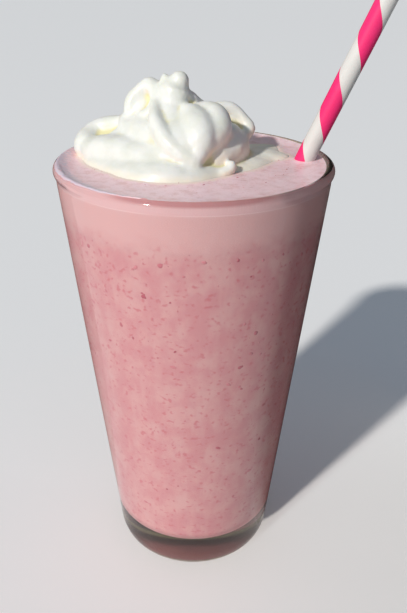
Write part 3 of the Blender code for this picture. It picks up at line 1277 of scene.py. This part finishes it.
@dataclass
class WhippedCream:
    """The dollop of cream, made of folds that run through three points each.

    A fold's points are (x, y, height above the drink, radius), in millimetres.
    The tail's ovals are (x, y, half length, half width, turn), in millimetres and degrees.
    Swell and ripple are the sizes and heights of the unevenness of its skin.
    """

    level: float = 148.3
    sink: float = 1.5
    voxel: float = 0.6
    softening: int = 10
    swell: Span = (6.5, 0.42)
    ripple: Span = (2.6, 0.1)
    ripple_shift: Point = (9.0, 0.0, 0.0)
    flattening: int = 60
    edge_reach: float = 0.5
    fold_steps: int = 16
    fold_roundness: int = 6
    round_end: Span = (45.0, 75.0)
    tail: tuple[Oval, ...] = ((17.0, 5.0, 20.0, 10.0, 63.0), (21.5, 7.6, 10.4, 7.0, -8.0))
    tail_thickness: float = 2.5
    tail_sides: tuple[int, int] = (64, 32)
    folds: dict[str, list[FoldPoint]] = field(default_factory=lambda: {
        "heart": [(-26.0, 6.0, 1.0, 6.5), (-13.0, 3.0, 5.0, 9.5), (3.0, 3.0, 5.0, 8.5)],
        "front heart": [(-17.0, -6.0, 2.0, 6.5), (-7.0, -10.0, 3.0, 7.2), (2.4, -7.6, 3.0, 6.0)],
        "core": [(-13.0, 8.0, 12.0, 4.8), (-6.5, 8.0, 14.5, 6.2), (5.0, 8.0, 7.5, 6.2)],
        "back": [(-28.0, 14.0, 2.0, 5.0), (-10.0, 17.0, 4.0, 8.5), (10.0, 12.0, 3.0, 6.0)],
        "left skirt": [(-33.5, 7.0, -1.5, 5.0), (-27.0, -5.0, -1.7, 5.8), (-13.0, -15.5, -2.0, 6.8)],
        "front skirt": [(-20.0, -12.0, -2.0, 6.4), (-6.0, -17.0, -2.0, 7.0), (7.5, -11.5, -2.6, 5.0)],
        "left rim": [(-35.0, 7.5, 3.2, 4.6), (-31.8, 14.0, 7.4, 3.7), (-21.5, 10.0, 10.0, 3.2)],
        "left hollow": [(-32.0, 11.5, 3.0, 4.0), (-28.0, 11.5, 4.2, 4.4), (-23.5, 10.5, 5.0, 4.6)],
        "left mound": [(-32.5, 4.5, 2.8, 5.0), (-22.5, -4.0, 3.8, 5.8), (-11.5, -12.0, 2.2, 5.6)],
        "middle bulge": [(-20.0, 6.5, 9.2, 4.6), (-15.5, -1.0, 9.0, 5.8), (-8.5, -8.5, 6.0, 5.2)],
        "shawl": [(-21.6, 7.0, 12.6, 2.4), (-19.4, -1.5, 9.4, 2.4), (-8.5, -13.0, 5.0, 2.4)],
        "crescent left": [(-18.8, 4.5, 12.8, 2.5), (-19.7, 6.5, 18.0, 2.5), (-14.3, 7.5, 23.0, 2.6)],
        "crescent right": [(-14.3, 7.5, 23.0, 2.6), (-11.6, 2.8, 20.2, 2.0), (-15.0, -0.2, 14.8, 2.0)],
        "crescent foot": [(-15.5, 0.0, 15.4, 1.7), (-17.5, 2.0, 13.8, 1.8), (-19.0, 4.0, 13.2, 1.8)],
        "crescent hollow": [(-15.8, 8.8, 20.0, 3.3), (-16.0, 7.6, 17.2, 3.9), (-16.6, 5.9, 14.4, 4.1)],
        "inner fill": [(-11.0, 4.6, 20.4, 3.2), (-8.4, 0.8, 17.2, 3.9), (-6.2, -4.2, 12.6, 4.6)],
        "tongue": [(-12.0, -1.0, 19.0, 1.4), (-9.4, -11.4, 11.4, 2.8), (0.0, -16.4, 5.0, 2.4)],
        "peak": [(-4.7, 3.0, 24.6, 3.4), (-6.0, 2.2, 20.8, 5.0), (-6.0, -2.0, 16.3, 1.8)],
        "saddle": [(-13.0, 8.0, 21.0, 3.0), (-10.0, 7.0, 21.2, 3.2), (-7.0, 5.0, 21.6, 3.8)],
        "crest nub": [(-9.6, 4.0, 23.4, 1.7), (-9.4, 4.0, 25.0, 1.4), (-9.2, 4.0, 26.2, 1.1)],
        "front lobe": [(-3.0, -1.0, 16.5, 3.0), (1.0, -8.6, 12.2, 5.9), (1.0, -14.2, 7.2, 3.6)],
        "lobe root": [(-5.5, -5.0, 13.5, 2.6), (-4.2, -10.5, 10.2, 4.2), (-1.0, -14.0, 6.8, 3.4)],
        "right bulge": [(2.5, 0.0, 16.5, 3.4), (7.0, -5.6, 13.8, 4.6), (3.0, -10.0, 9.0, 4.4)],
        "shoulder": [(-2.5, 5.0, 18.3, 4.0), (1.0, 7.0, 14.5, 4.4), (3.5, 7.0, 12.0, 5.0)],
        "right flank": [(7.0, -3.5, 8.6, 4.8), (9.8, 0.6, 8.0, 4.8), (11.4, 6.0, 7.2, 4.6)],
        "right foot": [(6.0, -8.4, 4.0, 5.0), (10.8, -0.6, 4.8, 5.9), (12.6, 6.0, 4.8, 5.4)],
        "back curl top": [(4.5, 10.0, 12.6, 3.6), (10.8, 12.2, 14.8, 2.5), (16.6, 10.6, 11.0, 2.2)],
        "back curl side": [(16.6, 10.6, 11.0, 2.2), (17.6, 8.6, 8.4, 2.0), (13.0, 5.0, 6.0, 2.4)],
        "back hollow": [(8.5, 13.2, 9.6, 4.0), (11.8, 12.6, 9.6, 4.0), (14.0, 11.0, 7.6, 3.4)],
        "curl nub": [(11.2, -12.6, 3.2, 1.4), (10.4, -13.8, 1.6, 1.8), (7.5, -15.0, 0.4, 2.0)],
    })

    @staticmethod
    def through(points: Sequence[FoldPoint], share: float) -> list[float]:
        """Gives a point of the curve through three points, the middle one halfway.

        Args:
            points: The three points.
            share: Place along the curve, from 0 to 1.

        Returns:
            The point, with as many values as the three have.
        """
        made = []
        for a, b, c in zip(*points):
            made.append(a + (4.0 * b - 3.0 * a - c) * share + 2.0 * (a - 2.0 * b + c) * share ** 2)
        return made

    def fold_points(self, fold: Sequence[FoldPoint]) -> list[tuple[Vector, float]]:
        """Lays out one fold.

        Args:
            fold: Its first, middle and last point.

        Returns:
            Centres and radii along it, in metres, with both ends rounded off.
        """
        path = [self.through(fold, i / self.fold_steps) for i in range(self.fold_steps + 1)]
        centres = [Vector((x, y, self.level + z)) * MM for x, y, z, _ in path]
        points = [(centre, values[3] * MM) for centre, values in zip(centres, path)]
        first = (centres[0] - centres[1]).normalized()
        last = (centres[-1] - centres[-2]).normalized()
        first_radius, last_radius = fold[0][3], fold[-1][3]
        for angle in self.round_end:
            out = math.sin(math.radians(angle))
            width = math.cos(math.radians(angle))
            points.insert(0, (centres[0] + first * first_radius * MM * out, first_radius * MM * width))
            points.append((centres[-1] + last * last_radius * MM * out, last_radius * MM * width))
        return points

    def folds_mesh(self) -> bpy.types.Mesh:
        """Builds all folds as tubes.

        Returns:
            One mesh of them all, in metres.
        """
        curve = bpy.data.curves.new("folds", "CURVE")
        curve.dimensions = "3D"
        curve.bevel_depth = 1.0
        curve.bevel_resolution = self.fold_roundness
        curve.use_fill_caps = True
        for fold in self.folds.values():
            points = self.fold_points(fold)
            spline = curve.splines.new("POLY")
            spline.points.add(len(points) - 1)
            for spot, (centre, radius) in zip(spline.points, points):
                spot.co = (*centre, 1.0)
                spot.radius = radius
        holder = bpy.data.objects.new("folds", curve)
        bpy.context.scene.collection.objects.link(holder)
        mesh = bpy.data.meshes.new_from_object(holder)
        bpy.data.objects.remove(holder, do_unlink=True)
        return mesh

    def add_tail(self, mesh: bpy.types.Mesh) -> None:
        """Adds the flat melted tail's ovals.

        Args:
            mesh: The mesh that takes them.
        """
        bm = bmesh.new()
        bm.from_mesh(mesh)
        for x, y, length, width, turn in self.tail:
            place = Matrix.Translation(Vector((x, y, self.level)) * MM)
            size = Vector((length, width, self.tail_thickness)) * MM
            matrix = place @ Matrix.Rotation(math.radians(turn), 4, "Z") @ Matrix.Diagonal((*size, 1.0))
            columns, rows = self.tail_sides
            bmesh.ops.create_uvsphere(bm, u_segments=columns, v_segments=rows, radius=1.0, matrix=matrix)
        bm.to_mesh(mesh)
        bm.free()

    def melted(self) -> bpy.types.Mesh:
        """Melts folds and tail into one body.

        Returns:
            The mesh, in metres.
        """
        folds = self.folds_mesh()
        self.add_tail(folds)
        rough = bpy.data.objects.new("rough_cream", folds)
        bpy.context.scene.collection.objects.link(rough)
        melt = rough.modifiers.new("melt", "REMESH")
        melt.mode = "VOXEL"
        melt.voxel_size = self.voxel * MM
        soften = rough.modifiers.new("soften", "SMOOTH")
        soften.factor = 0.5
        soften.iterations = self.softening
        mesh = evaluated(rough)
        bpy.data.objects.remove(rough, do_unlink=True)
        return mesh

    def settle(self, mesh: bpy.types.Mesh) -> None:
        """Makes the body a little uneven and cuts it off flat inside the drink.

        Args:
            mesh: The body's mesh.
        """
        bm = bmesh.new()
        bm.from_mesh(mesh)
        for vert in bm.verts:
            place = vert.co / MM
            uneven = self.swell[1] * noise.noise(place / self.swell[0])
            uneven += self.ripple[1] * noise.noise(place / self.ripple[0] + Vector(self.ripple_shift))
            vert.co += vert.normal * uneven * MM
        floor = Vector((0.0, 0.0, (self.level - self.sink) * MM))
        parts = bm.verts[:] + bm.edges[:] + bm.faces[:]
        bmesh.ops.bisect_plane(bm, geom=parts, plane_co=floor, plane_no=(0.0, 0.0, 1.0), clear_inner=True)
        bmesh.ops.holes_fill(bm, edges=[edge for edge in bm.edges if edge.is_boundary], sides=0)
        bm.to_mesh(mesh)
        bm.free()

    def mark_hollows(self, mesh: bpy.types.Mesh) -> None:
        """Marks how deep each point lies in a hollow, from 0 to 1, where the finish paints yellowish bounce
        shade.

        Args:
            mesh: The cream's mesh.
        """
        count = len(mesh.vertices)
        places = np.empty(count * 3)
        mesh.vertices.foreach_get("co", places)
        places = places.reshape(-1, 3)
        edges = np.empty(len(mesh.edges) * 2, dtype=np.int64)
        mesh.edges.foreach_get("vertices", edges)
        edges = edges.reshape(-1, 2)
        near = np.bincount(edges.ravel(), minlength=count).astype(float)[:, None]
        flat = places.copy()
        for _ in range(self.flattening):
            total = np.zeros_like(flat)
            np.add.at(total, edges[:, 0], flat[edges[:, 1]])
            np.add.at(total, edges[:, 1], flat[edges[:, 0]])
            flat = total / near
        normals = np.empty(count * 3)
        mesh.vertices.foreach_get("normal", normals)
        depth = np.einsum("ij,ij->i", flat - places, normals.reshape(-1, 3)) / MM
        layer = mesh.attributes.new("hollow", "FLOAT", "POINT")
        layer.data.foreach_set("value", np.clip(depth, 0.0, 1.0).astype(np.float32))

    def build(self) -> bpy.types.Object:
        """Builds and dresses the cream.

        Returns:
            The piece that stands for the cream's solid.
        """
        mesh = self.melted()
        self.settle(mesh)
        self.mark_hollows(mesh)
        piece = add_piece("cream_dollop", mesh, [CreamFinish().build()])
        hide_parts("whipped_cream")
        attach(piece, "root")
        return piece

    def edge(self, piece: bpy.types.Object) -> kdtree.KDTree:
        """Gathers the places where the built cream meets the drink.

        Args:
            piece: The cream.

        Returns:
            A search tree of places (x, y, 0), in millimetres.
        """
        near = []
        for vert in piece.data.vertices:
            if abs(vert.co.z / MM - self.level) < self.edge_reach:
                near.append(vert.co / MM)
        tree = kdtree.KDTree(len(near))
        for i, place in enumerate(near):
            tree.insert((place.x, place.y, 0.0), i)
        tree.balance()
        return tree


@dataclass(frozen=True)
class Card:
    """A card that curves round the glass, which the camera doesn't see.

    Its section's points are (radius, height) in millimetres. Its ends are directions in degrees from
    the right side. Its colour changes from the first to the second over its first fade, and to the
    third over its last one, each a share of its length.
    """

    name: str
    section: tuple[Span, ...]
    ends: Span
    fades: Span
    colours: tuple[Colour, Colour, Colour]
    steps: int = 36

    def mesh(self) -> bpy.types.Mesh:
        """Builds the card's mesh, with the share of its length kept on each point.

        Returns:
            The mesh, in metres.
        """
        bm = bmesh.new()
        along = bm.verts.layers.float.new("along")
        rows = []
        for radius, z in self.section:
            row = []
            for k in range(self.steps + 1):
                share = k / self.steps
                turn = math.radians(self.ends[0] + (self.ends[1] - self.ends[0]) * share)
                vert = bm.verts.new((radius * math.cos(turn) * MM, radius * math.sin(turn) * MM, z * MM))
                vert[along] = share
                row.append(vert)
            rows.append(row)
        for low, high in zip(rows, rows[1:]):
            for corners in zip(low, low[1:], high[1:], high):
                bm.faces.new(corners)
        return kept(self.name, bm)

    def finish(self) -> bpy.types.Material:
        """Makes the card's material.

        Returns:
            The material.
        """
        nodes = Nodes(self.name)
        share = nodes.attribute("along")
        first, middle, last = self.colours
        colour = nodes.mix(nodes.range(share, (0.0, self.fades[0])), first, middle)
        colour = nodes.mix(nodes.range(share, (1.0 - self.fades[1], 1.0)), colour, last)
        nodes.set(Roughness=1.0)
        nodes.join(colour, nodes.shader.inputs["Base Color"])
        return nodes.material

    def build(self) -> bpy.types.Object:
        """Builds the card.

        Returns:
            The card.
        """
        card = add_piece(self.name, self.mesh(), [self.finish()])
        card.visible_camera = False
        card.visible_shadow = False
        return card


@dataclass
class Studio:
    """Camera, floor, lamps and surroundings.

    Sizes are in millimetres, the camera's turns in radians and the lamp's in degrees.
    """

    camera_back: float = 213.9
    camera_up: float = 207.95
    pitch: float = 0.47943
    yaw: float = 0.01559
    roll: float = 0.00865
    lens: float = 39.816
    sun_azimuth: float = 50.0
    sun_elevation: float = 33.0
    sun_power: float = 2.85
    sun_width: float = 3.0
    sun_colour: Colour = (1.0, 0.965, 0.91)
    sky_power: float = 0.27
    sky_colour: Colour = (0.72, 0.84, 1.0)
    floor_colour: Colour = seen(253, 253, 253)
    floor_half_size: float = 30000.0
    floor_gap: float = 0.3
    card_radius: float = 145.0
    card_bottom: float = 22.0
    card_top: float = 172.0
    card_pale: Colour = seen(226, 224, 220)
    card_dark: Colour = seen(52, 46, 42)
    card_olive: Colour = seen(178, 172, 146)
    card_brown: Colour = seen(160, 124, 116)
    mirror_radius: float = 33.0
    mirror_bottom: float = 0.2
    mirror_top: float = 420.0

    def camera(self) -> None:
        """Sets the camera where the photograph was taken from."""
        ahead = Vector((
            math.sin(self.yaw) * math.cos(self.pitch),
            math.cos(self.yaw) * math.cos(self.pitch),
            -math.sin(self.pitch),
        ))
        level = Vector((math.cos(self.yaw), -math.sin(self.yaw), 0.0))
        up = level.cross(ahead)
        right = level * math.cos(self.roll) + up * math.sin(self.roll)
        top = up * math.cos(self.roll) - level * math.sin(self.roll)
        camera = bpy.data.objects.new("camera", bpy.data.cameras.new("camera"))
        bpy.context.scene.collection.objects.link(camera)
        matrix = Matrix((right, top, -ahead)).transposed().to_4x4()
        matrix.translation = Vector((0.0, -self.camera_back, self.camera_up)) * MM
        camera.matrix_world = matrix
        camera.data.sensor_width = 36.0
        camera.data.lens = self.lens
        camera.data.clip_start = 0.01
        bpy.context.scene.camera = camera

    def floor(self) -> None:
        """Lays the plain pale floor."""
        bm = bmesh.new()
        place = Matrix.Translation((0.0, 0.0, -self.floor_gap * MM))
        half_size = self.floor_half_size * MM
        bmesh.ops.create_grid(bm, x_segments=2, y_segments=2, size=half_size, matrix=place)
        mesh = kept("floor", bm)
        nodes = Nodes("floor")
        nodes.set(Base_Color=(*self.floor_colour, 1.0), Roughness=0.7, Specular_IOR_Level=0.2)
        add_piece("floor", mesh, [nodes.material])

    def cards(self) -> None:
        """Hangs a card that keeps stray light off the shade side, and stands two that the glass mirrors."""
        radius, bottom = self.card_radius, self.mirror_bottom
        pale, dark, olive, brown = self.card_pale, self.card_dark, self.card_olive, self.card_brown
        hanging = ((radius, self.card_bottom), (radius, self.card_top))
        shade = Card(
            "shade_card", hanging, ends=(-62.0, 28.0), fades=(0.2, 0.2), colours=(pale, dark, pale),
        )
        shade.build().visible_glossy = False
        standing = ((self.mirror_radius, bottom), (radius, bottom), (radius, self.mirror_top))
        right = Card(
            "right_card", standing, ends=(-20.0, 95.0), fades=(0.2, 0.35), colours=(pale, dark, olive),
        )
        right.build().visible_diffuse = False
        left = Card(
            "left_card", standing, ends=(95.5, 165.0), fades=(0.05, 0.6), colours=(brown, brown, pale),
        )
        left.build().visible_diffuse = False

    def lamps(self) -> None:
        """Hangs the key lamp and sets the sky."""
        sun = bpy.data.objects.new("key", bpy.data.lights.new("key", "SUN"))
        bpy.context.scene.collection.objects.link(sun)
        sun.data.energy = self.sun_power
        sun.data.angle = math.radians(self.sun_width)
        sun.data.color = self.sun_colour
        turn, rise = math.radians(self.sun_azimuth), math.radians(self.sun_elevation)
        travel = Vector((math.cos(turn) * math.cos(rise), math.sin(turn) * math.cos(rise), -math.sin(rise)))
        sun.rotation_euler = travel.to_track_quat("-Z", "Y").to_euler()
        world = bpy.data.worlds.new("sky")
        bpy.context.scene.world = world
        world.use_nodes = True
        background = world.node_tree.nodes["Background"]
        background.inputs["Color"].default_value = (*self.sky_colour, 1.0)
        background.inputs["Strength"].default_value = self.sky_power

    def build(self) -> None:
        """Sets up everything round the object."""
        self.camera()
        self.floor()
        self.cards()
        self.lamps()
        bpy.context.scene.view_settings.view_transform = "Standard"


def report(piece: bpy.types.Object) -> None:
    """Logs a piece's name, size and number of faces."""
    size = " x ".join(f"{part / MM:.1f}" for part in piece.dimensions)
    LOG.info("%s: %s mm, %d faces", piece.name, size, len(piece.data.polygons))


def main() -> None:
    """Builds the studio and every piece in order."""
    logging.basicConfig(level=logging.INFO, format="%(name)s: %(message)s")
    Studio().build()
    glass = Glass()
    straw = Straw()
    cream = WhippedCream()
    dollop = cream.build()
    drink = Drink(glass, straw, cream.edge(dollop))
    flecks = FruitFlecks(drink)
    for piece in (glass.build(), drink.milkshake(), drink.froth(), flecks.build(), dollop, straw.build()):
        report(piece)


if __name__ == "__main__":
    main()
